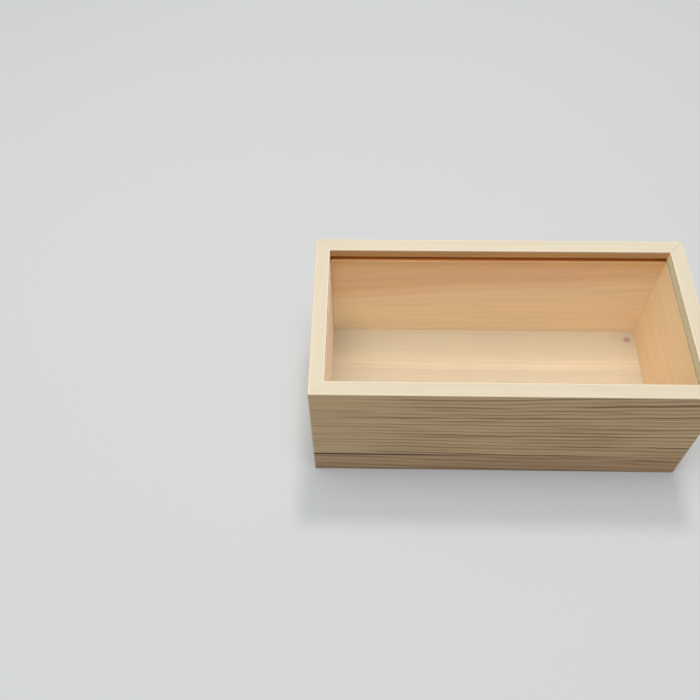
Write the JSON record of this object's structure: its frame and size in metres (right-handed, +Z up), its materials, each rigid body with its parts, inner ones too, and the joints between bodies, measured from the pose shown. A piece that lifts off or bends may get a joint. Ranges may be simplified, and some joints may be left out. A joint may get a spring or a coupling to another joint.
{
  "type": "sliding lid wooden box",
  "caption": "Rectangular mitred pine box with a clear sheet lid that slides out in grooves below the rim, pulled by the end strip glued to it.",
  "frame": {"origin": "middle of the flat underside of the box", "axes": "+X along the length, towards the end where the lid slides out; -Y is the front wall, the one with the glue seam near its foot; +Z up"},
  "size_m": [0.2, 0.1, 0.08],
  "materials": {
    "pine": "bare sanded pine, pale straw colour with fine straight grain, a few growth rings and one small knot",
    "clear_sheet": "clear colourless acrylic sheet, polished on both faces"
  },
  "bodies": {
    "box": {"front_wall_upper_stave": "pine", "front_wall_lower_stave": "pine", "back_wall_board": "pine", "closed_end_board": "pine", "exit_end_board": "pine", "bottom_panel": "pine"},
    "lid": {"lid_sheet": "clear_sheet", "lid_pull_strip": "pine"}
  },
  "joints": [
    {"name": "lid_slide", "type": "slide", "parent": "box", "child": "lid", "axis": [1, 0, 0], "range_m": [0, 0.19]}
  ]
}
